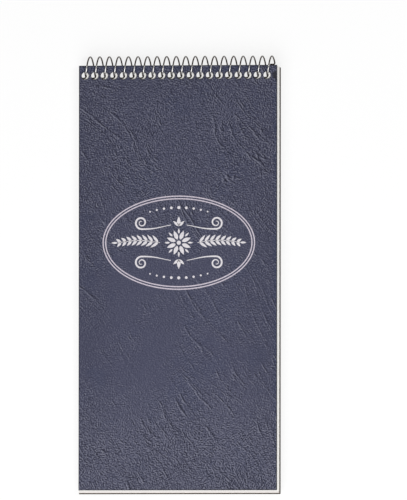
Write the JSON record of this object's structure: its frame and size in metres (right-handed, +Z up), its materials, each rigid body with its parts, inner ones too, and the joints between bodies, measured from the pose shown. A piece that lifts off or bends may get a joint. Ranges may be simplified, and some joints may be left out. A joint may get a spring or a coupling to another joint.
{
  "type": "reporter notebook",
  "caption": "Top-bound pocket notebook: stiff leatherette front cover, ruled page block and chipboard back, held by a spiral wire in a row of punched holes.",
  "frame": {"origin": "bottom centre of the box round the whole closed notebook", "axes": "+Z up out of the front cover, +X to the reader's right, +Y towards the bound top edge"},
  "size_m": [0.0968, 0.2096, 0.0101],
  "materials": {
    "cover": "navy leatherette over board, fine grain with soft creases, satin",
    "paper": "uncoated white writing paper with faint ruling",
    "chipboard": "raw grey-brown chipboard, matte, fine fibre flecks",
    "wire": "bright drawn steel wire"
  },
  "bodies": {
    "page_block": {"page_block": "paper"},
    "front_cover": {"front_cover": "cover"},
    "back_cover": {"back_cover": "chipboard"},
    "binding_wire": {"binding_wire": "wire"}
  },
  "joints": [
    {"name": "front_cover_hinge", "type": "hinge", "parent": "page_block", "child": "front_cover", "pos_m": [0, 0.0998, 0.005], "axis": [-1, 0, 0], "range_deg": [0, 175]},
    {"name": "back_cover_hinge", "type": "hinge", "parent": "page_block", "child": "back_cover", "pos_m": [0, 0.09915, 0.00225], "axis": [1, 0, 0], "range_deg": [0, 40]},
    {"name": "wire_slide", "type": "slide", "parent": "page_block", "child": "binding_wire", "axis": [1, 0, 0], "range_m": [-0.0016, 0]}
  ],
  "couplings": [
    {"joint": "wire_slide", "follows": "front_cover_hinge", "m_per_rad": -0.0005238}
  ]
}
